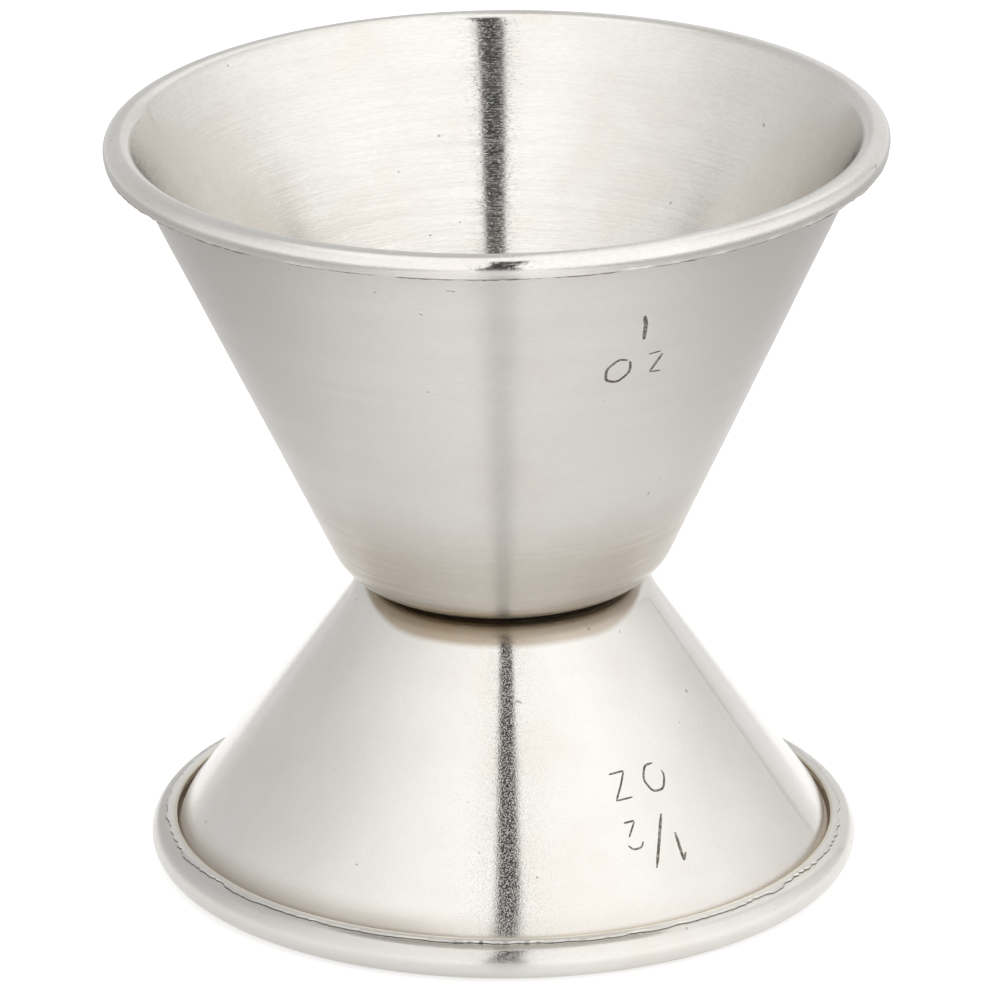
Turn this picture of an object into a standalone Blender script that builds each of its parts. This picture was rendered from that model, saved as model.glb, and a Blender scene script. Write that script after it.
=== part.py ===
"""A double-ended bar jigger: two pressed steel cups, a one ounce cup mouth up on a half ounce cup
mouth down, joined floor to floor by one spot weld.

Metres, +Z up. The origin is the centre of the small cup's rim, on the surface it stands on.
"""
from math import cos, pi, radians, sin, tan

import bmesh
import bpy
from mathutils import Matrix, Vector

MM = 0.001

# Driving dimensions
SHEET = 0.60 * MM               # thickness of both cups' sheet
SEGMENTS = 64                   # facets round each cup
JOINT_HEIGHT = 19.33 * MM       # middle of the weld joint above the surface
JOINT_GAP = 0.20 * MM           # space between the two floors on the axis
WELD_TILT = radians(-0.9)       # the large cup was welded on leaning towards -X

LARGE_HEIGHT = 30.90 * MM       # large cup, floor to rim
LARGE_FLOOR_RADIUS = 10.15 * MM  # where its floor and its wall would meet outside, without the bend
LARGE_BEND = 4.00 * MM          # outer radius of the bend from floor to wall
LARGE_WALL_ANGLE = 64.9         # degrees above the floor

SMALL_HEIGHT = JOINT_HEIGHT - JOINT_GAP / 2
SMALL_FLOOR_RADIUS = 9.50 * MM
SMALL_BEND = 1.80 * MM
SMALL_WALL_ANGLE = 54.3

# Curled rims: radii are those of the middle of the sheet
LARGE_CURL_RADIUS = 0.50 * MM
LARGE_CURL_FLAT = 0.32 * MM     # level band on top of the rim
LARGE_CURL_HOOK = 100.0         # degrees that the curl turns down and in past level
LARGE_CURL_LEG = 0.42 * MM      # straight end of the curl

SMALL_NECK_RADIUS = 5.00 * MM   # the wall steepens in a neck just above the rim
SMALL_NECK_TURN = 32.0
SMALL_FOLD_RADIUS = 0.40 * MM
SMALL_FOLD_FLAT = 0.19 * MM     # level band under the rim, on which the jigger stands
SMALL_LEG_RADIUS = 1.00 * MM    # the outer leg turns back to the wall on a wider radius
SMALL_LEG_TURN = 195.0          # from level under the rim to the cut end beside the wall
SMALL_LEG_FACETS = 8
SMALL_LAND_HEIGHT = 2.55 * MM   # level land pressed on top of the curl

# Spot weld
WELD_RADIUS = 2.50 * MM
WELD_RIM_PLAY = 0.30 * MM       # clearance round the nugget
WELD_FACE_PLAY = 0.06 * MM      # clearance above and below the nugget
WELD_DEPTH = 0.15 * MM          # how far the nugget reaches into each floor
DENT_DEPTH = 0.08 * MM          # electrode's dent in each cup's floor
DENT_RADIUS = 3.20 * MM

# Degrees of turn for each facet of a bend
COARSE_FACET = 16.0
FINE_FACET = 30.0


class Path:
    """The middle line of a bent sheet in the (radius, height) plane, with its left-hand normals."""

    def __init__(self, radius, height):
        self.point = Vector((radius, height))
        self.heading = 0.0
        self.stations = []
        self.mark()

    def mark(self):
        normal = Vector((-sin(self.heading), cos(self.heading)))
        self.stations.append((self.point.copy(), normal))

    def line(self, length):
        self.point += length * Vector((cos(self.heading), sin(self.heading)))
        self.mark()

    def arc(self, radius, degrees, facet):
        """Turn left by degrees, or right where degrees is negative."""
        side = 1.0 if degrees > 0 else -1.0
        steps = max(1, round(abs(degrees) / facet))
        turn = radians(degrees) / steps
        for _ in range(steps):
            normal = Vector((-sin(self.heading), cos(self.heading)))
            centre = self.point + side * radius * normal
            self.heading += turn
            normal = Vector((-sin(self.heading), cos(self.heading)))
            self.point = centre - side * radius * normal
            self.mark()

    def side(self, offset):
        """The points at an offset to the left of the line."""
        return [point + offset * normal for point, normal in self.stations]


def floor_length(corner_radius, bend, angle):
    """Length of the flat floor from the axis to the start of the bend."""
    return corner_radius - bend * tan(radians(angle) / 2)


def rise(radius, degrees):
    """Height gained by a bend between level and an angle."""
    return radius * (1 - cos(radians(degrees)))


def large_cup_section():
    """Closed outline of the large cup, mouth up, with its floor's underside at height 0."""
    bend = LARGE_BEND - SHEET / 2
    wall_rise = (LARGE_HEIGHT - SHEET - rise(bend, LARGE_WALL_ANGLE)
                 - rise(LARGE_CURL_RADIUS, LARGE_WALL_ANGLE))
    path = Path(0.0, SHEET / 2)
    path.line(floor_length(LARGE_FLOOR_RADIUS, LARGE_BEND, LARGE_WALL_ANGLE))
    path.arc(bend, LARGE_WALL_ANGLE, COARSE_FACET)
    path.line(wall_rise / sin(radians(LARGE_WALL_ANGLE)))
    path.arc(LARGE_CURL_RADIUS, -LARGE_WALL_ANGLE, FINE_FACET)
    path.line(LARGE_CURL_FLAT)
    path.arc(LARGE_CURL_RADIUS, -LARGE_CURL_HOOK, FINE_FACET)
    path.line(LARGE_CURL_LEG)
    inside = path.side(SHEET / 2)
    outside = path.side(-SHEET / 2)
    return with_weld_marks(inside, outside, 1.0)


def small_cup_section():
    """Closed outline of the small cup, mouth down, with its floor's top at height 0."""
    bend = SMALL_BEND - SHEET / 2
    neck_angle = SMALL_WALL_ANGLE + SMALL_NECK_TURN
    neck_drop = SMALL_NECK_RADIUS * (cos(radians(SMALL_WALL_ANGLE)) - cos(radians(neck_angle)))
    wall_drop = (SMALL_HEIGHT - SHEET - rise(bend, SMALL_WALL_ANGLE) - neck_drop
                 - rise(SMALL_FOLD_RADIUS, neck_angle))
    path = Path(0.0, -SHEET / 2)
    path.line(floor_length(SMALL_FLOOR_RADIUS, SMALL_BEND, SMALL_WALL_ANGLE))
    path.arc(bend, -SMALL_WALL_ANGLE, COARSE_FACET)
    path.line(wall_drop / sin(radians(SMALL_WALL_ANGLE)))
    path.arc(SMALL_NECK_RADIUS, -SMALL_NECK_TURN, SMALL_NECK_TURN)
    path.arc(SMALL_FOLD_RADIUS, neck_angle, FINE_FACET)
    path.line(SMALL_FOLD_FLAT)
    path.arc(SMALL_LEG_RADIUS, SMALL_LEG_TURN, SMALL_LEG_TURN / SMALL_LEG_FACETS)
    land = SMALL_LAND_HEIGHT - SMALL_HEIGHT
    leg = -SMALL_LEG_FACETS
    outside = path.side(SHEET / 2)
    inside = path.side(-SHEET / 2)
    for point in inside[leg:]:
        point.y = min(point.y, land)
    return with_weld_marks(inside, outside, -1.0)


def with_weld_marks(inside, outside, up):
    """Add the electrode's dent inside the floor and the nugget's seat outside it, and close the outline.

    inside and outside run from the axis to the curl's end; up is +1 or -1, towards the cup's mouth.
    """
    dent = [
        Vector((0.0, inside[0].y - up * DENT_DEPTH)),
        Vector((DENT_RADIUS * 0.8, inside[0].y - up * DENT_DEPTH)),
        Vector((DENT_RADIUS, inside[0].y)),
    ]
    seat_radius = WELD_RADIUS + WELD_RIM_PLAY
    seat = [
        Vector((0.0, outside[0].y + up * WELD_DEPTH)),
        Vector((seat_radius, outside[0].y + up * WELD_DEPTH)),
        Vector((seat_radius, outside[0].y)),
    ]
    return dent + inside[1:] + outside[:0:-1] + seat[::-1]


def nugget_section():
    """Outline of the weld nugget, a flat lens centred on the joint."""
    half = JOINT_GAP / 2 + WELD_DEPTH - WELD_FACE_PLAY
    return [
        Vector((0.0, half)),
        Vector((WELD_RADIUS * 0.7, half)),
        Vector((WELD_RADIUS * 0.93, half * 0.6)),
        Vector((WELD_RADIUS, 0.0)),
        Vector((WELD_RADIUS * 0.93, -half * 0.6)),
        Vector((WELD_RADIUS * 0.7, -half)),
        Vector((0.0, -half)),
    ]


def spin(name, section, material, place):
    """Spin an outline round Z into one closed object, with a facet's middle on +X."""
    half_facet = pi / SEGMENTS
    edge = bmesh.new()
    verts = [edge.verts.new((p.x * cos(half_facet), -p.x * sin(half_facet), p.y)) for p in section]
    for first, second in zip(verts, verts[1:]):
        edge.edges.new((first, second))
    bmesh.ops.spin(edge, geom=verts + list(edge.edges), cent=(0, 0, 0), axis=(0, 0, 1),
                   angle=2 * pi, steps=SEGMENTS, use_merge=True, use_duplicate=False)
    bmesh.ops.remove_doubles(edge, verts=edge.verts, dist=0.001 * MM)
    bmesh.ops.recalc_face_normals(edge, faces=edge.faces)
    mesh = bpy.data.meshes.new(name)
    edge.to_mesh(mesh)
    edge.free()
    mesh.shade_smooth()
    mesh.set_sharp_from_angle(angle=radians(35))
    mesh.materials.append(material)
    piece = bpy.data.objects.new(name, mesh)
    piece.matrix_world = place
    bpy.context.scene.collection.objects.link(piece)
    return piece


def steel(name, colour, roughness):
    """Bare stainless steel."""
    material = bpy.data.materials.new(name)
    material.use_nodes = True
    shader = material.node_tree.nodes["Principled BSDF"]
    shader.inputs["Base Color"].default_value = (*colour, 1.0)
    shader.inputs["Metallic"].default_value = 1.0
    shader.inputs["Roughness"].default_value = roughness
    return material


def build():
    for leftover in list(bpy.data.objects):
        bpy.data.objects.remove(leftover)
    joint = Matrix.Translation((0, 0, JOINT_HEIGHT))
    tilt = Matrix.Rotation(WELD_TILT, 4, "Y")
    large_floor = Matrix.Translation((0, 0, JOINT_GAP / 2))
    small_floor = Matrix.Translation((0, 0, SMALL_HEIGHT))
    spin("large_cup", large_cup_section(), steel("large_cup_steel", (0.66, 0.64, 0.61), 0.30),
         joint @ tilt @ large_floor)
    spin("small_cup", small_cup_section(), steel("small_cup_steel", (0.67, 0.66, 0.64), 0.28),
         small_floor)
    spin("weld_nugget", nugget_section(), steel("weld_steel", (0.45, 0.41, 0.36), 0.55), joint)


build()
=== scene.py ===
from math import cos, pi, radians, sin, tan

import bmesh
import bpy
import numpy as np
from mathutils import Matrix, Vector


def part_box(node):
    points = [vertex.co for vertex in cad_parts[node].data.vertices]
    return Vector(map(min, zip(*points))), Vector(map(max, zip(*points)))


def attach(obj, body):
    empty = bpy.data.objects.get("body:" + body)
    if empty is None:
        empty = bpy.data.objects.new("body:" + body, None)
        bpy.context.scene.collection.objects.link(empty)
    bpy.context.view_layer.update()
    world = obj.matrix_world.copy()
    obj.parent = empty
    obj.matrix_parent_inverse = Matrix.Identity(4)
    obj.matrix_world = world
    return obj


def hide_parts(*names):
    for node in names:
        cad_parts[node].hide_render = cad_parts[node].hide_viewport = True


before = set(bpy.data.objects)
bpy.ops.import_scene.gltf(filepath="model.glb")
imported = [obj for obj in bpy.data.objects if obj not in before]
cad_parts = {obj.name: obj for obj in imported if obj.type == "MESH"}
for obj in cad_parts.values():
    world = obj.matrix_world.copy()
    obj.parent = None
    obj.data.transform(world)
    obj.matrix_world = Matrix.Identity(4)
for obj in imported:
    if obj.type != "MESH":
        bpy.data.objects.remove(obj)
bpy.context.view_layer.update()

MM = 0.001

# Shared with the CAD
SHEET = 0.60 * MM
WELD_TILT = radians(-0.9)
JOINT_GAP = 0.20 * MM
LARGE_HEIGHT = 30.90 * MM
LARGE_FLOOR_RADIUS = 10.15 * MM
LARGE_BEND = 4.00 * MM
LARGE_WALL_ANGLE = 64.9
SMALL_FLOOR_RADIUS = 9.50 * MM
SMALL_BEND = 1.80 * MM
SMALL_WALL_ANGLE = 54.3
LARGE_CURL_RADIUS = 0.50 * MM
LARGE_CURL_FLAT = 0.32 * MM
LARGE_CURL_HOOK = 100.0
LARGE_CURL_LEG = 0.42 * MM
SMALL_NECK_RADIUS = 5.00 * MM
SMALL_NECK_TURN = 32.0
SMALL_FOLD_RADIUS = 0.40 * MM
SMALL_FOLD_FLAT = 0.19 * MM
SMALL_LEG_RADIUS = 1.00 * MM
SMALL_LEG_TURN = 195.0
SMALL_LAND_HEIGHT = 2.55 * MM
WELD_RADIUS = 2.50 * MM
WELD_RIM_PLAY = 0.30 * MM
WELD_DEPTH = 0.15 * MM
DENT_DEPTH = 0.08 * MM
DENT_RADIUS = 3.20 * MM

nugget_low, nugget_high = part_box("weld_nugget")
JOINT_HEIGHT = (nugget_low.z + nugget_high.z) / 2
SMALL_HEIGHT = JOINT_HEIGHT - JOINT_GAP / 2

# Fineness of the visible meshes. Facets are in degrees.
COLUMNS = 540
FINE_COLUMNS = 2160             # round the sheets' cut ends and the small cup's lip
BEND_FACET = 6.5
NECK_FACET = 5.0
CURL_FACET = 10.0
FOLD_FACET = 15.0
LEG_FACET = 9.0
WALL_ROWS = 10
ROD_SIDES = 12                  # of the cutters for marks
OUT_OF_ROUND = 0.004 * MM

# Small cup's rim: a hollow bead, the sheet's end pressed flat on it as a land, and the lip of metal that was
# squeezed out over the bead
LIP_RADIUS = 22.41 * MM
LIP_STEP = 0.14 * MM
LIP_TEETH = 0.22 * MM           # longest
SMALL_LAND_EDGE = 21.78 * MM
BEAD_RADIUS = 22.12 * MM        # middle of the bead's section
BEAD_HEIGHT = 1.30 * MM
BEAD_BORE = 0.92 * MM           # radius in the section within which the bead's inside is dirty

# Large cup's rim
LARGE_RIM_RADIUS = 24.60 * MM
CUT_END_RADIUS = 25.00 * MM
CUT_END_HEIGHT = 29.60 * MM

# Heat stains on the floors, darkened towards the joint as painted shade
LARGE_STAIN_EDGE = 9.0 * MM
SMALL_STAIN_EDGE = 9.4 * MM
STAIN_SPREAD = 1.0 * MM         # how much farther it goes to the front and back, outside the small cup
STAIN_FADE = 0.35 * MM
SHADE_DEEPENS = 1.8 * MM

# Brown tint on the low part of the large cup's wall, over the start of the wall, darker towards the
# bottom, and deeper at the sides as painted shade
LOW_BROWN_TOP = 8.0 * MM
LOW_BROWN_FULL = 1.8 * MM
LOW_BROWN = 0.50
DULL_TOP = 6.5 * MM
DULL_START = 1.6 * MM

# Dirt beside the small cup's bead, and painted shade on the wall above it
DIRT_TOP = 2.75 * MM
CREVICE_SHADE_TOP = 4.05 * MM

# Roughness of the steel, and how much parts of it differ
LARGE_WALL_ROUGHNESS = 0.34
LARGE_ROUGHNESS = 0.16
SMALL_ROUGHNESS = 0.13
RIM_ROUGHENS = -0.05
STAIN_ROUGHENS = 0.10
CREVICE_SHADE_ROUGHENS = 0.22
LAND_ROUGHENS = 0.24
BEAD_ROUGHENS = 0.07
EDGE_HIGHLIGHT_ROUGHENS = 0.20
DIRT_ROUGHENS = 0.30
DIRT_METAL = 0.15

# Colours
FRESH_STEEL = (0.700, 0.683, 0.652, 1)
AGED_STEEL = (0.670, 0.644, 0.602, 1)
# painted shade: warmer, darker steel for the sides of the large cup's wall
SIDE_SHADED_STEEL = (0.700, 0.668, 0.638, 1)
GRAIN_SHADOW = (0.35, 0.33, 0.30, 1)
# brown tint low on the large cup's wall; at the sides it is painted shade
LOW_BROWN_STEEL = (0.43, 0.38, 0.32, 1)
DARK_SPOTS = (0.30, 0.27, 0.24, 1)
# Heat stains, darkened towards the joint as painted shade
LARGE_STAIN_AND_SHADE = (0.42, 0.35, 0.26, 1)
SMALL_STAIN_AND_SHADE = (0.30, 0.22, 0.125, 1)
DIRT = (0.92, 0.82, 0.69, 1)
# painted shade on the small cup's wall above the crevice
CREVICE_SHADE = (0.48, 0.42, 0.35, 1)
# painted light: a paler land on the small cup's rim
LIT_LAND_STEEL = (0.86, 0.84, 0.80, 1)
# painted highlight on the inner edge of the small cup's land
EDGE_HIGHLIGHT = (0.95, 0.90, 0.78, 1)
# painted shade on the small cup's bead, darker on the left
BEAD_SHADE = (0.35, 0.335, 0.32, 1)
# painted shadow under the large cup's cut end
CUT_END_SHADOW = (0.14, 0.10, 0.07, 1)

# Depth of the capacity marks, cut into the outside of the walls
CUT_DEPTH = 0.05 * MM


class Path:
    """The middle line of a bent sheet in the (radius, height) plane, with its left-hand normals."""

    def __init__(self, radius, height):
        self.point = Vector((radius, height))
        self.heading = 0.0
        self.stations = []
        self.mark()

    def normal(self):
        return Vector((-sin(self.heading), cos(self.heading)))

    def mark(self):
        self.stations.append((self.point.copy(), self.normal()))

    def line(self, length, rows=1):
        step = length / rows * Vector((cos(self.heading), sin(self.heading)))
        for _ in range(rows):
            self.point += step
            self.mark()

    def arc(self, radius, degrees, facet):
        """Turn left by degrees, or right where degrees is negative."""
        side = 1.0 if degrees > 0 else -1.0
        steps = max(1, round(abs(degrees) / facet))
        turn = radians(degrees) / steps
        for _ in range(steps):
            centre = self.point + side * radius * self.normal()
            self.heading += turn
            self.point = centre - side * radius * self.normal()
            self.mark()

    def side(self, offset):
        """The points at an offset to the left of the line."""
        return [point + offset * normal for point, normal in self.stations]


def floor_length(corner_radius, bend, angle):
    """Length of the flat floor from the axis to the start of the bend."""
    return corner_radius - bend * tan(radians(angle) / 2)


def rise(radius, degrees):
    """Height gained by a bend between level and an angle."""
    return radius * (1 - cos(radians(degrees)))


def dent(height, up):
    """Inside of the floor from the axis to the rim of the electrode's dent."""
    section = ((0.0, 1.0), (0.4, 1.0), (0.72, 0.97), (0.82, 0.8), (0.92, 0.25), (1.0, 0.0))
    return [Vector((radius * DENT_RADIUS, height - up * DENT_DEPTH * depth)) for radius, depth in section]


def seat(height, up):
    """Outside of the floor from the nugget's seat to the axis."""
    edge = WELD_RADIUS + WELD_RIM_PLAY
    return [Vector((edge, height)), Vector((edge, height + up * WELD_DEPTH)),
            Vector((0.0, height + up * WELD_DEPTH))]


def large_cup_rings():
    """Rings of the large cup, mouth up, the two ends of its outside wall, and which rings start faces painted
    dark as shadow at the cut end.
    """
    bend = LARGE_BEND - SHEET / 2
    wall_rise = (LARGE_HEIGHT - SHEET - rise(bend, LARGE_WALL_ANGLE)
                 - rise(LARGE_CURL_RADIUS, LARGE_WALL_ANGLE))
    path = Path(0.0, SHEET / 2)
    path.line(floor_length(LARGE_FLOOR_RADIUS, LARGE_BEND, LARGE_WALL_ANGLE))
    path.arc(bend, LARGE_WALL_ANGLE, BEND_FACET)
    start = len(path.stations) - 1
    path.line(wall_rise / sin(radians(LARGE_WALL_ANGLE)), WALL_ROWS)
    stop = len(path.stations) - 1
    path.arc(LARGE_CURL_RADIUS, -LARGE_WALL_ANGLE, CURL_FACET)
    path.line(LARGE_CURL_FLAT, 2)
    path.arc(LARGE_CURL_RADIUS, -LARGE_CURL_HOOK, CURL_FACET)
    path.line(LARGE_CURL_LEG)
    inside = path.side(SHEET / 2)
    outside = path.side(-SHEET / 2)
    tip, back = inside[-1], outside[-1]
    nicks = 0.035 * MM * wave(11, 90) + 0.03 * MM * wave(12, 420, True)
    burr = 0.03 * MM * np.maximum(0.0, wave(13, 150, True))
    cut_end = [(tip.x - 0.010 * MM, tip.y + 0.10 * MM + nicks), (tip.x + burr, tip.y + 0.03 * MM + nicks),
               (tip.x - 0.015 * MM + burr, tip.y + nicks), (tip.x - 0.07 * MM, tip.y + nicks),
               (back.x, back.y + nicks)]
    rings = dent(inside[0].y, 1.0) + inside[1:-1] + cut_end + outside[-2:0:-1] + seat(0.0, 1.0)
    under = next(k for k, ring in enumerate(rings) if ring is cut_end[3])
    return rings, (outside[start], outside[stop]), (under, under + 1)


def small_cup_rings():
    """Rings of the small cup, mouth down, the two ends of its outside wall, and which rings start faces
    painted dark as shadow in the crack under the lip.
    """
    bend = SMALL_BEND - SHEET / 2
    neck_angle = SMALL_WALL_ANGLE + SMALL_NECK_TURN
    neck_drop = SMALL_NECK_RADIUS * (cos(radians(SMALL_WALL_ANGLE)) - cos(radians(neck_angle)))
    wall_drop = (SMALL_HEIGHT - SHEET - rise(bend, SMALL_WALL_ANGLE) - neck_drop
                 - rise(SMALL_FOLD_RADIUS, neck_angle))
    path = Path(0.0, SMALL_HEIGHT - SHEET / 2)
    path.line(floor_length(SMALL_FLOOR_RADIUS, SMALL_BEND, SMALL_WALL_ANGLE))
    path.arc(bend, -SMALL_WALL_ANGLE, BEND_FACET)
    start = len(path.stations) - 1
    path.line(wall_drop / sin(radians(SMALL_WALL_ANGLE)), WALL_ROWS)
    stop = len(path.stations) - 1
    path.arc(SMALL_NECK_RADIUS, -SMALL_NECK_TURN, NECK_FACET)
    path.arc(SMALL_FOLD_RADIUS, neck_angle, FOLD_FACET)
    path.line(SMALL_FOLD_FLAT)
    path.arc(SMALL_LEG_RADIUS, SMALL_LEG_TURN, LEG_FACET)
    inside = path.side(-SHEET / 2)
    outside = path.side(SHEET / 2)
    under_lip = SMALL_LAND_HEIGHT - LIP_STEP
    bead = [point for point in inside[1:] if point.x < LIP_RADIUS or point.y < under_lip]
    while bead[-1].y > under_lip and bead[-1].x < LIP_RADIUS:
        bead.pop()
    floor = dent(inside[0].y, -1.0)
    rings = floor + bead + lip_rings() + outside[:0:-1] + seat(SMALL_HEIGHT, -1.0)
    groove = len(floor) + len(bead)
    return rings, (outside[start], outside[stop]), (groove, groove + 1, groove + 2)


def lip_rings():
    """The ragged lip on the bead, the pressed land and the sheet's cut end, from outside inwards."""
    ragged = (0.085 + 0.15 * facing(66, 34) + 0.13 * facing(-74, 34) + 0.03 * facing(15, 25)) * MM
    teeth = ragged * (wave(22, 130, True) + 0.6 * wave(23, 420, True))
    edge = LIP_RADIUS + 0.03 * MM * wave(21, 13) + np.clip(teeth, -LIP_TEETH, LIP_TEETH)
    curl = 0.045 * MM * (1.0 + wave(24, 460, True)) * (0.3 + 0.7 * facing(25, 70))
    crack = 0.024 * MM * (1.0 + 0.8 * wave(25, 260, True))
    top = SMALL_LAND_HEIGHT
    rings = [(edge + crack, top - LIP_STEP), (edge + 0.4 * crack, top - LIP_STEP - 0.015 * MM),
             (edge - 0.03 * MM, top - LIP_STEP - 0.01 * MM), (edge - 0.02 * MM, top - 0.85 * LIP_STEP),
             (edge + 0.010 * MM, top - 0.7 * LIP_STEP),
             (edge + 0.022 * MM, top - 0.35 * LIP_STEP + 0.5 * curl),
             (edge + 0.008 * MM, top - 0.02 * MM + curl), (edge - 0.02 * MM, top + 0.01 * MM + curl),
             (edge - 0.07 * MM, top + 0.5 * curl)]
    press = 0.008 * MM
    for share, seed in ((0.85, 31), (0.65, 32), (0.45, 33)):
        radius = SMALL_LAND_EDGE + share * (edge - SMALL_LAND_EDGE)
        rings.append((radius, top + press * wave(seed, 120)))
    inner = SMALL_LAND_EDGE + 0.02 * MM * wave(34, 17) + 0.006 * MM * wave(35, 200)
    rings += [(inner + 0.11 * MM, top + 0.01 * MM), (inner + 0.06 * MM, top + 0.014 * MM),
              (inner + 0.025 * MM, top - 0.004 * MM), (inner + 0.006 * MM, top - 0.035 * MM),
              (inner, top - 0.08 * MM)]
    return rings


def nugget_rings():
    """Rings of the weld nugget, a flat lens with a splashed edge."""
    half = (nugget_high.z - nugget_low.z) / 2
    splash = 0.04 * MM * wave(41, 60, True)
    return [(0.0, half), (0.4 * WELD_RADIUS, 0.97 * half), (0.7 * WELD_RADIUS, half),
            (0.93 * WELD_RADIUS + splash, 0.6 * half), (WELD_RADIUS - 0.04 * MM + splash, 0.0),
            (0.93 * WELD_RADIUS + splash, -0.6 * half), (0.7 * WELD_RADIUS, -half),
            (0.4 * WELD_RADIUS, -0.97 * half), (0.0, -half)]


def wave(seed, knots, sharp=False):
    """Values between -1 and 1 round a rim, through a number of random ones."""
    values = np.random.default_rng(seed).uniform(-1.0, 1.0, knots)
    place = np.arange(FINE_COLUMNS) * knots / FINE_COLUMNS
    first = place.astype(int)
    share = place - first
    if not sharp:
        share = share * share * (3 - 2 * share)
    return values[first % knots] * (1 - share) + values[(first + 1) % knots] * share


def facing(centre, half):
    """1 at an azimuth in degrees, falling to 0 at half away from it. 0 faces -Y, and 90 faces +X."""
    turn = np.arange(FINE_COLUMNS) * 360 / FINE_COLUMNS
    away = np.abs((turn - centre + 180) % 360 - 180)
    return 0.5 + 0.5 * np.cos(pi * np.minimum(1.0, away / half))


def lathe(name, rings, seed, shadowed=()):
    """Turn rings of (radius, height) round Z, slightly out of round.

    A ring whose radius or height is an array is as fine as the array. Columns run from -Y towards +X. The
    faces that follow the rings numbered in the last argument take the second material, painted dark as
    shadow.
    """
    phase = np.random.default_rng(seed).uniform(0.0, 2 * pi, 5)
    points = []
    counts = []
    for radius, height in rings[1:-1]:
        count = max(COLUMNS, np.size(radius), np.size(height))
        turn = np.arange(count) * 2 * pi / count
        bulge = sum(OUT_OF_ROUND * np.sin(n * turn + p + 90 * n * height)
                    for n, p in zip((2, 3, 5, 9, 14), phase))
        radius = radius + bulge * min(1.0, np.min(radius) / (10 * MM))
        height = height + np.zeros(count)
        points.append(np.stack([radius * np.sin(turn), -radius * np.cos(turn), height], axis=1))
        counts.append(count)
    starts = np.concatenate([[0], np.cumsum(counts)])
    last = int(starts[-1])
    faces = [(last, (c + 1) % counts[0], c) for c in range(counts[0])]
    slots = [0] * counts[0]
    for ring, (start, count, following, after) in enumerate(zip(starts, counts, starts[1:], counts[1:]), 1):
        finer, coarser = max(count, after), min(count, after)
        split = finer // coarser
        for c in range(coarser):
            here = [c * count // coarser + k for k in range(count // coarser + 1)]
            there = [c * after // coarser + k for k in range(after // coarser + 1)]
            faces.append([int(start) + k % count for k in here]
                         + [int(following) + k % after for k in reversed(there)])
        slots += [int(ring in shadowed)] * coarser
    start, count = int(starts[-2]), counts[-1]
    faces += [(last + 1, start + c, start + (c + 1) % count) for c in range(count)]
    slots += [0] * count
    points += [np.array([[0, 0, rings[0][1]], [0, 0, rings[-1][1]]])]
    mesh = bpy.data.meshes.new(name)
    mesh.from_pydata(np.vstack(points).tolist(), [], faces)
    shape = bmesh.new()
    shape.from_mesh(mesh)
    bmesh.ops.recalc_face_normals(shape, faces=shape.faces)
    shape.to_mesh(mesh)
    shape.free()
    mesh.polygons.foreach_set("material_index", slots)
    return mesh


def piece(name, mesh, place, node):
    body = bpy.data.objects.new(name, mesh)
    bpy.context.scene.collection.objects.link(body)
    body.matrix_world = place
    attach(body, "root")
    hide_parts(node)
    return body


def line(*points):
    return [Vector(p) * MM for p in points]


def oval(half_width, half_height, lean, first, last, centre=(0.0, 0.0)):
    """Part of an unsteady oval, leaning right by degrees, from one angle to another."""
    points = []
    for k in range(25):
        angle = radians(first + (last - first) * k / 24)
        point = Vector((half_width * cos(angle), half_height * sin(angle))) * (1 + 0.03 * sin(6 * angle + 1))
        point.rotate(Matrix.Rotation(radians(-lean), 2))
        points.append((point + Vector(centre)) * MM)
    return points


# Each mark or nick: azimuth in degrees and height in mm of its middle, the width of its strokes in mm,
# then the strokes in mm, right and up the wall
LARGE_MARKS = [
    (25.7, 24.0, 0.28, [line((-0.20, 1.05), (0.03, 0.3), (0.16, -1.05))]),
    (22.4, 20.78, 0.20, [oval(0.80, 0.98, 24, 80, 425)]),
    (29.8, 21.0, 0.12, [line((-0.62, 0.80), (0.22, 0.88)), line((-0.22, -0.84), (0.58, -0.92))]),
    (29.8, 21.0, 0.22, [line((0.42, 0.62), (-0.18, -0.78))]),
]
LARGE_NICKS = [
    (-7.2, 28.0, 0.05, [line((-0.26, 0.04), (0.02, 0.0), (0.26, -0.05))]),
    (-12.5, 26.0, 0.05, [line((-0.12, 0.07), (0.12, -0.05))]),
]
SMALL_MARKS = [
    (28.1, 10.05, 0.13, [line((-0.56, 0.88), (0.50, 0.94)), line((-0.60, -0.92), (0.64, -0.88))]),
    (28.1, 10.05, 0.15, [line((0.50, 0.88), (0.06, 0.06), (-0.56, -0.90))]),
    (37.5, 10.08, 0.16, [oval(0.78, 0.95, 8, 80, 385)]),
    (27.7, 7.3, 0.15, [line((-0.38, 0.93), (0.34, 0.96)), line((0.36, 0.88), (0.05, 0.45), (-0.30, -0.05)),
                       oval(0.56, 0.44, 0, -165, -5, (0.02, -0.47))]),
    (33.2, 6.7, 0.26, [line((0.80, 1.72), (-0.84, -1.66))]),
    (37.3, 6.15, 0.26, [line((0.05, 0.96), (-0.08, -0.94))]),
    (37.3, 6.15, 0.20, [line((-0.06, -0.94), (0.28, -0.50))]),
]


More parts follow.
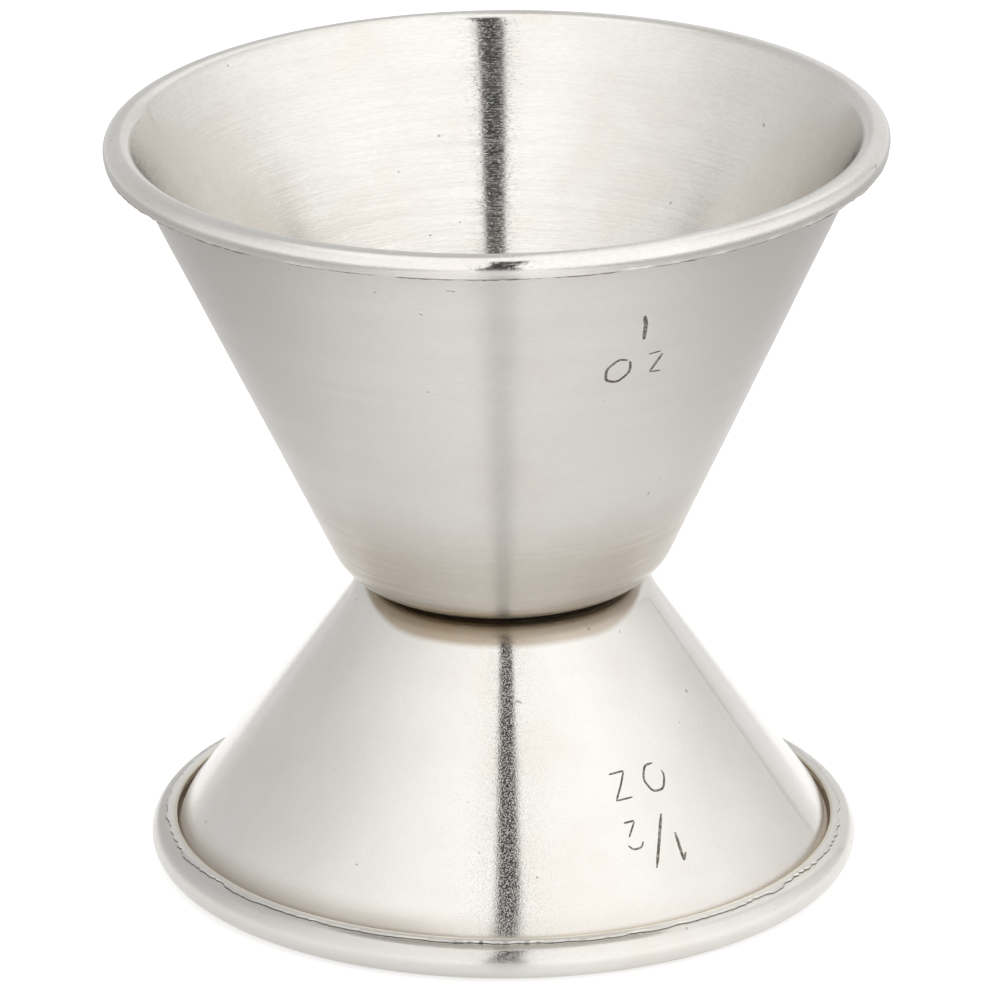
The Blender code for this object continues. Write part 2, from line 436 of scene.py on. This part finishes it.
def stroke_cutter(points, width, depth, wall, azimuth, height):
    """A bent rod lying in the wall's surface, that leaves it a little at both ends."""
    low, high = wall
    slope = (high - low).normalized()
    lean = slope if slope.y > 0 else -slope
    radius = (width * width / 4 + depth * depth) / (2 * depth)
    dense = [points[0]]
    for first, second in zip(points, points[1:]):
        steps = max(1, round((second - first).length / (0.06 * MM)))
        dense += [first.lerp(second, k / steps) for k in range(1, steps + 1)]
    total = len(dense) - 1
    spine = []
    for k, point in enumerate(dense):
        level = height * MM + point.y * lean.y
        reach = low.x + (high.x - low.x) * (level - low.y) / (high.y - low.y)
        turn = radians(azimuth) + point.x / reach
        out = Vector((sin(turn), -cos(turn), 0.0))
        normal = (out * lean.y - Vector((0, 0, lean.x))).normalized()
        fade = min(1.0, 4 * min(k, total - k) / total + 0.35)
        centre = out * reach + Vector((0, 0, level)) + normal * (radius - depth * fade)
        spine.append((centre, normal))
    shape = bmesh.new()
    loops = []
    for k, (centre, normal) in enumerate(spine):
        ahead = spine[min(k + 1, total)][0] - spine[max(k - 1, 0)][0]
        across = ahead.cross(normal).normalized()
        upward = across.cross(ahead).normalized()
        loops.append([shape.verts.new(centre + radius * (cos(a) * across + sin(a) * upward))
                      for a in (2 * pi * (n + 0.5) / ROD_SIDES for n in range(ROD_SIDES))])
    for one, two in zip(loops, loops[1:]):
        for n in range(ROD_SIDES):
            after = (n + 1) % ROD_SIDES
            shape.faces.new((one[n], one[after], two[after], two[n]))
    shape.faces.new(loops[0][::-1])
    shape.faces.new(loops[-1])
    bmesh.ops.recalc_face_normals(shape, faces=shape.faces)
    mesh = bpy.data.meshes.new("cutter")
    shape.to_mesh(mesh)
    shape.free()
    return mesh


def engrave(body, marks, wall, material):
    cutters = []
    for azimuth, height, width, strokes in marks:
        for points in strokes:
            mesh = stroke_cutter(points, width * MM, CUT_DEPTH, wall, azimuth, height)
            mesh.materials.append(material)
            cutter = bpy.data.objects.new("cutter", mesh)
            bpy.context.scene.collection.objects.link(cutter)
            cutter.matrix_world = body.matrix_world
            cutters.append(cutter)
            cut = body.modifiers.new("cut", "BOOLEAN")
            cut.operation = "DIFFERENCE"
            cut.solver = "MANIFOLD"
            cut.object = cutter
            cut.material_mode = "TRANSFER"
    bpy.context.view_layer.update()
    evaluated = body.evaluated_get(bpy.context.evaluated_depsgraph_get())
    mesh = bpy.data.meshes.new_from_object(evaluated)
    body.modifiers.clear()
    body.data = mesh
    for cutter in cutters:
        bpy.data.objects.remove(cutter)


class Graph:
    """Short calls for building a node tree."""

    def __init__(self, tree):
        self.tree = tree

    def add(self, kind, *values, **settings):
        """A node with its inputs set in order; a value that is a socket is linked. None leaves an input."""
        node = self.tree.nodes.new(kind)
        for key, value in settings.items():
            setattr(node, key, value)
        for socket, value in zip(node.inputs, values):
            self.put(value, socket)
        return node

    def put(self, value, socket):
        if isinstance(value, bpy.types.NodeSocket):
            self.tree.links.new(value, socket)
        elif value is not None:
            socket.default_value = value

    def math(self, operation, *values):
        return self.add("ShaderNodeMath", *values, operation=operation).outputs[0]

    def times(self, first, *others):
        for other in others:
            first = self.math("MULTIPLY", first, other)
        return first

    def length(self, across, up):
        return self.math("SQRT", self.math("ADD", self.times(across, across), self.times(up, up)))

    def share(self, part, whole):
        """Size of a part of a length, from 0 to 1, whatever its sign."""
        return self.math("ABSOLUTE", self.math("DIVIDE", part, whole))

    def ramp(self, value, low, high, start=0.0, end=1.0):
        """value between low and high, eased to start and end."""
        node = self.add("ShaderNodeMapRange", value, low, high, start, end, interpolation_type="SMOOTHSTEP")
        return node.outputs[0]

    def noise(self, vector, scale, detail, roughness):
        node = self.add("ShaderNodeTexNoise")
        node.inputs["Scale"].default_value = scale
        node.inputs["Detail"].default_value = detail
        node.inputs["Roughness"].default_value = roughness
        self.put(vector, node.inputs["Vector"])
        return node.outputs[0]

    def scaled(self, vector, factors):
        node = self.add("ShaderNodeVectorMath", vector, factors, operation="MULTIPLY")
        return node.outputs[0]

    def bump(self, height, distance, under=None):
        node = self.add("ShaderNodeBump")
        node.inputs["Strength"].default_value = 1.0
        node.inputs["Distance"].default_value = distance
        self.put(height, node.inputs["Height"])
        self.put(under, node.inputs["Normal"])
        return node.outputs[0]

    def mix(self, factor, first, second):
        """Mix of two colours."""
        node = self.add("ShaderNodeMix", data_type="RGBA")
        for name, value in (("Factor", factor), ("A", first), ("B", second)):
            socket = [i for i in node.inputs if i.name == name and i.enabled][0]
            self.put(value, socket)
        return [o for o in node.outputs if o.enabled][0]


class Steel:
    """Turned and pressed steel of one cup. Layers tint and roughen it: spots, weld stains, dirt, and painted
    light and shade.
    """

    def __init__(self, name, wall, lean, run, roughness):
        """wall holds the ends of the outside wall, and roughness is the least.

        Turning lines follow height plus lean times radius. run is below 1 where grains run on round the cup.
        """
        self.material = bpy.data.materials.new(name)
        self.material.use_nodes = True
        self.shader = self.material.node_tree.nodes["Principled BSDF"]
        self.graph = graph = Graph(self.material.node_tree)
        place = graph.add("ShaderNodeTexCoord").outputs["Object"]
        self.x, self.y, self.z = graph.add("ShaderNodeSeparateXYZ", place).outputs
        self.reach = graph.length(self.x, self.y)
        self.find_wall(*wall)
        self.draw_grain(place, lean, run)

        graph.put(self.relief(), self.shader.inputs["Normal"])
        self.colour = graph.mix(graph.ramp(self.cloud, 0.35, 0.7), FRESH_STEEL, AGED_STEEL)
        self.tint(graph.times(graph.ramp(self.grain, 0.4, 0.62), 0.07), GRAIN_SHADOW)
        self.rough = graph.math("ADD", graph.ramp(self.bands, 0.35, 0.65, -0.012, 0.012), roughness)
        brushed = graph.ramp(self.lines, 0.35, 0.65, -0.04, 0.05)
        self.roughen(brushed, graph.math("SUBTRACT", 1.0, self.outer))

    def find_wall(self, low, high):
        """Masks for the outside of the sheet, and for its wall alone."""
        graph = self.graph
        slope = (high.x - low.x) / (high.y - low.y)
        middle = graph.math("MULTIPLY_ADD", self.z, slope, low.x - slope * low.y - SHEET / 2)
        self.outer = graph.ramp(graph.math("SUBTRACT", self.reach, middle), -0.05 * MM, 0.05 * MM)
        self.bottom, top = sorted((low.y, high.y))
        span = graph.times(graph.ramp(self.z, top + 0.2 * MM, top - 0.6 * MM),
                           graph.ramp(self.z, self.bottom - 0.6 * MM, self.bottom + 0.2 * MM))
        span = graph.math("MAXIMUM", span, graph.ramp(self.reach, low.x, low.x - 1.0 * MM))
        self.outer_wall = graph.times(self.outer, span)

    def draw_grain(self, place, lean, run):
        graph = self.graph
        along = graph.math("MULTIPLY_ADD", self.reach, lean, self.z)
        turned = graph.add("ShaderNodeCombineXYZ", self.x, self.y, graph.times(along, 50.0)).outputs[0]
        self.lines = graph.noise(turned, 180.0, 3.0, 0.65)
        self.bands = graph.noise(turned, 22.0, 2.0, 0.6)
        drawn = graph.scaled(place, (run, run, 1.0))
        self.grain = graph.noise(drawn, 9500.0, 1.5, 0.6)
        self.pits = graph.ramp(graph.noise(drawn, 12000.0, 1.0, 0.5), 0.55, 0.66)
        self.cloud = graph.noise(place, 130.0, 3.0, 0.6)
        self.spots = graph.ramp(graph.noise(place, 1500.0, 1.0, 0.5), 0.785, 0.81)

    def relief(self):
        normal = self.graph.bump(self.lines, 0.8e-6)
        normal = self.graph.bump(self.grain, 2.0e-6, normal)
        return self.graph.bump(self.pits, 1.8e-6, normal)

    def tint(self, mask, colour):
        self.colour = self.graph.mix(mask, self.colour, colour)

    def roughen(self, mask, amount):
        self.rough = self.graph.math("MULTIPLY_ADD", mask, amount, self.rough)

    def finish(self):
        graph = self.graph
        graph.put(self.colour, self.shader.inputs["Base Color"])
        graph.put(self.rough, self.shader.inputs["Roughness"])
        self.shader.inputs["Anisotropic"].default_value = 1.0
        self.shader.inputs["Anisotropic Rotation"].default_value = 0.25
        tangent = graph.add("ShaderNodeTangent", direction_type="RADIAL", axis="Z")
        graph.put(tangent.outputs[0], self.shader.inputs["Tangent"])
        return self.material


def shade_and_dull_wall(steel):
    """Sides of the large cup's outside wall warmer and darker as painted shade, and a smoother low band
    tinted brown, deeper at the sides as painted shade.
    """
    graph = steel.graph
    sideways = graph.share(steel.x, steel.reach)
    # painted shade: the sides of the wall warmer and darker
    steel.tint(graph.times(steel.outer_wall, graph.ramp(sideways, 0.1, 0.8, 0.1, 0.8)), SIDE_SHADED_STEEL)
    # brown tint, darker towards the bottom; the deeper tint at the sides is painted shade
    low_band = graph.ramp(steel.z, steel.bottom + LOW_BROWN_TOP, steel.bottom + LOW_BROWN_FULL, 0.0, LOW_BROWN)
    low_brown = graph.times(low_band, steel.outer, graph.ramp(sideways, 0.1, 0.8, 1.0, 1.75),
                          graph.ramp(steel.lines, 0.35, 0.65, 0.75, 1.0))
    steel.tint(low_brown, LOW_BROWN_STEEL)
    uneven = graph.math("MULTIPLY_ADD", steel.lines, -1.2 * MM, steel.z)
    dull = graph.ramp(uneven, steel.bottom + DULL_START, steel.bottom + DULL_TOP, 0.5, 1.0)
    steel.roughen(graph.times(steel.outer_wall, dull), LARGE_WALL_ROUGHNESS - LARGE_ROUGHNESS)


def spot(steel):
    steel.tint(steel.graph.times(steel.spots, 0.7), DARK_SPOTS)


def stain_and_shade(steel, colour, edge, spread):
    """Colour that the weld gave the floor when hot, up to a radius, darkened towards the joint as painted
    shade. It is fainter on the right.
    """
    graph = steel.graph
    ahead = graph.ramp(graph.share(steel.y, steel.reach), 0.15, 0.85)
    within = graph.math("MULTIPLY_ADD", ahead, -spread, steel.reach)
    # Weld stains, darkened towards the joint as painted shade
    heat_and_shade = graph.times(graph.ramp(within, edge, edge - STAIN_FADE),
                       graph.ramp(within, edge, edge - SHADE_DEEPENS, 0.75, 1.0))
    patchy = graph.times(graph.ramp(steel.cloud, 0.3, 0.7, 0.85, 1.0),
                         graph.ramp(steel.x, -2.0 * MM, 6.0 * MM, 1.0, 0.78))
    steel.tint(graph.times(heat_and_shade, patchy), colour)
    steel.roughen(heat_and_shade, STAIN_ROUGHENS)


def smooth_and_shadow_large_rim(steel):
    """A smoother curl, and painted shadow under its cut end."""
    graph = steel.graph
    steel.roughen(graph.ramp(steel.reach, LARGE_RIM_RADIUS - 0.25 * MM, LARGE_RIM_RADIUS), RIM_ROUGHENS)
    # painted shadow, in dashes, on the wall under the cut end
    cut_end_shadow = graph.times(graph.ramp(steel.z, CUT_END_HEIGHT, CUT_END_HEIGHT - 0.03 * MM),
                        graph.ramp(steel.reach, CUT_END_RADIUS - 0.2 * MM, CUT_END_RADIUS),
                        graph.ramp(steel.cloud, 0.30, 0.45, 0.35, 0.9))
    steel.tint(cut_end_shadow, CUT_END_SHADOW)


def soil_and_shade_crevice(steel):
    """Dirt in the crevice between the small cup's wall and its bead and inside the bead, and painted shade
    on the wall above, darker on the left.
    """
    graph = steel.graph
    inward = graph.ramp(steel.reach, SMALL_LAND_EDGE + 0.04 * MM, SMALL_LAND_EDGE)
    dirt = graph.times(graph.ramp(steel.z, DIRT_TOP, DIRT_TOP - 0.7 * MM), steel.outer, inward)
    deep = graph.length(graph.math("SUBTRACT", steel.reach, BEAD_RADIUS),
                        graph.math("SUBTRACT", steel.z, BEAD_HEIGHT))
    dirt = graph.math("MAXIMUM", dirt, graph.ramp(deep, BEAD_BORE + 0.1 * MM, BEAD_BORE))
    steel.tint(dirt, DIRT)
    steel.roughen(dirt, DIRT_ROUGHENS)
    graph.put(graph.math("MULTIPLY_ADD", dirt, DIRT_METAL - 1.0, 1.0), steel.shader.inputs["Metallic"])
    # painted shade on the wall above the crevice, darker on the left
    crevice_shade = graph.times(graph.ramp(steel.z, CREVICE_SHADE_TOP, DIRT_TOP), steel.outer, inward,
                       graph.ramp(steel.x, 1.0 * MM, -8.0 * MM, 0.25, 1.0))
    steel.tint(graph.times(crevice_shade, 0.5), CREVICE_SHADE)
    steel.roughen(crevice_shade, CREVICE_SHADE_ROUGHENS)


def light_and_shade_small_rim(steel):
    """A pressed land paled as painted light, with a painted highlight on its inner edge, and a dull bead
    with painted shade, darker on the left.
    """
    graph = steel.graph
    top = SMALL_LAND_HEIGHT
    inner = SMALL_LAND_EDGE
    # painted light: the land's top made paler
    land = graph.times(graph.ramp(steel.z, top - 0.09 * MM, top - 0.04 * MM),
                       graph.ramp(steel.z, top + 0.09 * MM, top + 0.06 * MM),
                       graph.ramp(steel.reach, inner - 0.02 * MM, inner))
    steel.tint(graph.times(land, 0.5), LIT_LAND_STEEL)
    steel.roughen(land, LAND_ROUGHENS)
    under = graph.ramp(steel.z, top + 0.2 * MM, top + 0.1 * MM)
    # painted highlight along the land's inner edge
    edge_highlight = graph.times(steel.outer, under, graph.ramp(steel.z, top - 0.10 * MM, top - 0.05 * MM),
                       graph.ramp(steel.reach, inner + 0.24 * MM, inner + 0.14 * MM),
                       graph.ramp(steel.reach, inner - 0.10 * MM, inner - 0.05 * MM))
    steel.tint(edge_highlight, EDGE_HIGHLIGHT)
    steel.roughen(edge_highlight, EDGE_HIGHLIGHT_ROUGHENS)
    # painted shade on the bead, darker on the left
    bead = graph.times(under, graph.ramp(steel.reach, LIP_RADIUS - 0.1 * MM, LIP_RADIUS + 0.1 * MM))
    steel.tint(graph.times(bead, graph.ramp(steel.x, 5.0 * MM, -6.0 * MM, 0.09, 0.30)), BEAD_SHADE)
    steel.roughen(bead, BEAD_ROUGHENS)


def large_cup_steel(wall):
    steel = Steel("large_cup_steel", wall, 0.5, 0.2, LARGE_ROUGHNESS)
    steel.shader.inputs["Metallic"].default_value = 1.0
    shade_and_dull_wall(steel)
    spot(steel)
    stain_and_shade(steel, LARGE_STAIN_AND_SHADE, LARGE_STAIN_EDGE, 0.0)
    smooth_and_shadow_large_rim(steel)
    return steel.finish()


def small_cup_steel(wall):
    steel = Steel("small_cup_steel", wall, -0.5, 1.0, SMALL_ROUGHNESS)
    spot(steel)
    stain_and_shade(steel, SMALL_STAIN_AND_SHADE, SMALL_STAIN_EDGE, STAIN_SPREAD)
    soil_and_shade_crevice(steel)
    light_and_shade_small_rim(steel)
    return steel.finish()


def cut_steel(name):
    """Engraved strokes and the cracks beside cut ends, dull; dark with dirt in the strokes and as painted
    shadow in the cracks.
    """
    material = bpy.data.materials.new(name)
    material.use_nodes = True
    graph = Graph(material.node_tree)
    shader = material.node_tree.nodes["Principled BSDF"]
    place = graph.add("ShaderNodeTexCoord").outputs["Object"]
    dirt = graph.noise(place, 4000.0, 2.0, 0.6)
    # dark base: dirt in the engraved strokes, painted shadow in the cracks beside cut ends
    graph.put(graph.mix(graph.ramp(dirt, 0.4, 0.65), (0.11, 0.095, 0.08, 1), (0.30, 0.28, 0.25, 1)),
              shader.inputs["Base Color"])
    graph.put(graph.bump(dirt, 6e-6), shader.inputs["Normal"])
    graph.put(graph.ramp(dirt, 0.3, 0.7, 0.35, 0.5), shader.inputs["Roughness"])
    shader.inputs["Metallic"].default_value = 1.0
    return material


def weld_steel(name):
    """Fused steel, dull and blued."""
    material = bpy.data.materials.new(name)
    material.use_nodes = True
    graph = Graph(material.node_tree)
    shader = material.node_tree.nodes["Principled BSDF"]
    place = graph.add("ShaderNodeTexCoord").outputs["Object"]
    ripple = graph.noise(place, 2500.0, 3.0, 0.6)
    graph.put(graph.mix(graph.ramp(ripple, 0.35, 0.65), (0.38, 0.33, 0.28, 1), (0.27, 0.27, 0.31, 1)),
              shader.inputs["Base Color"])
    graph.put(graph.bump(ripple, 1.2e-5), shader.inputs["Normal"])
    graph.put(graph.ramp(ripple, 0.3, 0.7, 0.4, 0.65), shader.inputs["Roughness"])
    shader.inputs["Metallic"].default_value = 1.0
    return material


def finish(body, wall=None):
    """Smooth shading. Faces cut by the marks keep the straight wall's own normals."""
    mesh = body.data
    mesh.shade_smooth()
    mesh.set_sharp_from_angle(angle=radians(40))
    if wall is None:
        return
    low, high = wall
    slope = (high - low).normalized()
    lean = slope if slope.y > 0 else -slope
    bottom, top = sorted((low.y, high.y))
    corners = np.empty(len(mesh.loops) * 3, dtype=np.float32)
    mesh.corner_normals.foreach_get("vector", corners)
    corners = corners.reshape(-1, 3)
    places = np.empty(len(mesh.vertices) * 3, dtype=np.float32)
    mesh.vertices.foreach_get("co", places)
    places = places.reshape(-1, 3)
    index = np.empty(len(mesh.loops), dtype=np.int32)
    mesh.loops.foreach_get("vertex_index", index)
    plain = np.zeros(len(mesh.loops), dtype=bool)
    for face in mesh.polygons:
        if face.material_index == 0:
            plain[face.loop_start:face.loop_start + face.loop_total] = True
    reach = np.maximum(np.hypot(places[index, 0], places[index, 1]), 0.1 * MM)
    height = places[index, 2]
    surface = low.x + (high.x - low.x) * (height - low.y) / (high.y - low.y)
    out = np.stack([places[index, 0] / reach * lean.y, places[index, 1] / reach * lean.y,
                    np.full(len(index), -lean.x)], axis=1)
    chosen = (plain & (np.abs(reach - surface) < 0.1 * SHEET) & (height > bottom + 0.1 * MM)
              & (height < top - 0.1 * MM))
    corners[chosen] = out[chosen]
    mesh.normals_split_custom_set(corners.tolist())


def build_large_cup():
    rings, wall, shadowed = large_cup_rings()
    place = (Matrix.Translation((0, 0, JOINT_HEIGHT)) @ Matrix.Rotation(WELD_TILT, 4, "Y")
             @ Matrix.Translation((0, 0, JOINT_GAP / 2)))
    cup = piece("large_cup_sheet", lathe("large_cup_sheet", rings, 1, shadowed), place, "large_cup")
    cup.data.materials.append(large_cup_steel(wall))
    cup.data.materials.append(cut_steel("large_cup_grime_and_shadow"))
    engrave(cup, LARGE_MARKS + LARGE_NICKS, wall, cup.data.materials[1])
    finish(cup, wall)


def build_small_cup():
    rings, wall, shadowed = small_cup_rings()
    cup = piece("small_cup_sheet", lathe("small_cup_sheet", rings, 2, shadowed), Matrix.Identity(4), "small_cup")
    cup.data.materials.append(small_cup_steel(wall))
    cup.data.materials.append(cut_steel("small_cup_grime_and_shadow"))
    engrave(cup, SMALL_MARKS, wall, cup.data.materials[1])
    finish(cup, wall)


def build_nugget():
    nugget = piece("weld_nugget_body", lathe("weld_nugget_body", nugget_rings(), 3),
                   Matrix.Translation((0, 0, JOINT_HEIGHT)), "weld_nugget")
    nugget.data.materials.append(weld_steel("weld_steel"))
    finish(nugget)


# Table, lit from below
TABLE_SIZE = 3.0
TABLE_GLOW = 0.54
TABLE_COLOUR = 0.6
FRONT_SHADE = 0.08              # how much dimmer it is in front of the jigger, out of the picture,
SIDE_SHADE = 0.60               # far to the sides,
SLIT_SHADE = 0.07               # and in front towards the dark slit of the tent


def build_table():
    corners = [(x * TABLE_SIZE, y * TABLE_SIZE, 0) for x, y in ((-1, -1), (1, -1), (1, 1), (-1, 1))]
    mesh = bpy.data.meshes.new("floor")
    mesh.from_pydata(corners, [], [(0, 1, 2, 3)])
    table = bpy.data.objects.new("floor", mesh)
    bpy.context.scene.collection.objects.link(table)
    paper = bpy.data.materials.new("paper")
    paper.use_nodes = True
    graph = Graph(paper.node_tree)
    shader = paper.node_tree.nodes["Principled BSDF"]
    place = graph.add("ShaderNodeTexCoord").outputs["Object"]
    x, y, _ = graph.add("ShaderNodeSeparateXYZ", place).outputs
    aside = graph.math("ABSOLUTE", x)
    dark = graph.times(graph.ramp(y, -0.0247, -0.0252, 0.0, SLIT_SHADE),
                       graph.ramp(graph.share(x, y), 0.13, 0.08))
    bright = graph.times(graph.ramp(y, -0.025, -0.042, 1.0, 1.0 - FRONT_SHADE),
                         graph.ramp(aside, 0.033, 0.06, 1.0, 1.0 - SIDE_SHADE),
                         graph.math("SUBTRACT", 1.0, dark))
    tone = graph.times(bright, TABLE_COLOUR)
    graph.put(graph.add("ShaderNodeCombineXYZ", tone, tone, tone).outputs[0], shader.inputs["Base Color"])
    graph.put(graph.times(bright, TABLE_GLOW), shader.inputs["Emission Strength"])
    shader.inputs["Emission Color"].default_value = (1, 1, 1, 1)
    shader.inputs["Roughness"].default_value = 0.05
    shader.inputs["Specular IOR Level"].default_value = 1.0
    mesh.materials.append(paper)


# Light tent: its brightness goes with the azimuth, which is 0 towards the camera and positive to the right
TENT = ((-180, 0.74), (-146, 0.75), (-118, 0.80), (-86, 1.00), (-67, 1.17), (-46, 1.30), (-20, 1.44),
        (55, 1.46), (86, 1.32), (103, 1.20), (118, 1.05), (136, 0.90), (142, 1.25), (180, 1.25))
TENT_SCALE = 2.0                # the ramp's colours stay below 1
TENT_TOP = 1.42
SLIT_WIDTH = 0.124              # dark slit in front and overhead, which the camera looks through
SLIT_LOW = 0.20                 # its brightness low down
SLIT_HIGH = 0.07                # and high up
SEAM = 139                      # azimuth of a thin seam between two panels
SEAM_DARK = 0.55
BEHIND_SHADE = 0.24             # how much dimmer the panel past the seam is low down


def tent_wall(graph, azimuth):
    turn = graph.math("ADD", graph.math("DIVIDE", azimuth, 2 * pi), 0.5)
    ramp = graph.add("ShaderNodeValToRGB", turn)
    while len(ramp.color_ramp.elements) < len(TENT):
        ramp.color_ramp.elements.new(0.5)
    for element, (angle, level) in zip(ramp.color_ramp.elements, TENT):
        element.position = angle / 360 + 0.5
        element.color = (level / TENT_SCALE, level / TENT_SCALE, level / TENT_SCALE, 1)
    return graph.times(ramp.outputs[0], TENT_SCALE)


def tent_slit(graph, x, y, z):
    """Mask of the slit. It bends to the right overhead, and is wider low down."""
    off = graph.math("ABSOLUTE", graph.math("SUBTRACT", x, graph.ramp(z, 0.45, 0.75, 0.008, 0.026)))
    spread = graph.math("ADD", graph.ramp(z, 0.45, 0.75, 0.006, 0.0), graph.ramp(z, 0.1, 0.4, 0.045, 0.0))
    half = SLIT_WIDTH / 2
    return graph.times(graph.ramp(graph.math("SUBTRACT", off, spread), half + 0.003, half - 0.003),
                       graph.ramp(y, -0.18, -0.28))


def build_tent():
    world = bpy.data.worlds.new("tent")
    bpy.context.scene.world = world
    world.use_nodes = True
    graph = Graph(world.node_tree)
    way = graph.add("ShaderNodeTexCoord").outputs["Generated"]
    x, y, z = graph.add("ShaderNodeSeparateXYZ", way).outputs
    azimuth = graph.math("ARCTAN2", x, graph.times(y, -1.0))
    top = graph.ramp(z, 0.75, 0.97)
    slit = tent_slit(graph, x, y, z)
    light = graph.math("ADD", graph.times(tent_wall(graph, azimuth), graph.math("SUBTRACT", 1.0, top)),
                       graph.times(top, TENT_TOP))
    light = graph.math("ADD", graph.times(light, graph.math("SUBTRACT", 1.0, slit)),
                       graph.times(slit, graph.ramp(z, 0.15, 0.42, SLIT_LOW, SLIT_HIGH)))
    past_seam = graph.math("SUBTRACT", azimuth, radians(SEAM))
    seam = graph.ramp(graph.math("ABSOLUTE", past_seam), 0.0, 0.02, SEAM_DARK, 1.0)
    dimmed = graph.times(graph.math("GREATER_THAN", past_seam, 0.0),
                         graph.ramp(z, 0.65, 0.35, 0.0, BEHIND_SHADE))
    light = graph.times(light, seam, graph.math("SUBTRACT", 1.0, dimmed))
    background = world.node_tree.nodes["Background"]
    background.inputs["Color"].default_value = (1.0, 1.0, 1.0, 1.0)
    graph.put(light, background.inputs["Strength"])


DISTANCE = 628 * MM
ELEVATION = 0.3647              # radians
TARGET = Vector((-0.57, 0.0, 24.87)) * MM


def place_camera():
    data = bpy.data.cameras.new("camera")
    data.sensor_width = 36
    data.lens = 346.8
    camera = bpy.data.objects.new("camera", data)
    bpy.context.scene.collection.objects.link(camera)
    camera.location = TARGET + DISTANCE * Vector((0, -cos(ELEVATION), sin(ELEVATION)))
    camera.rotation_euler = (pi / 2 - ELEVATION, 0, 0)
    bpy.context.scene.camera = camera
    bpy.context.scene.view_settings.view_transform = "Standard"


build_large_cup()
build_small_cup()
build_nugget()
build_table()
build_tent()
place_camera()
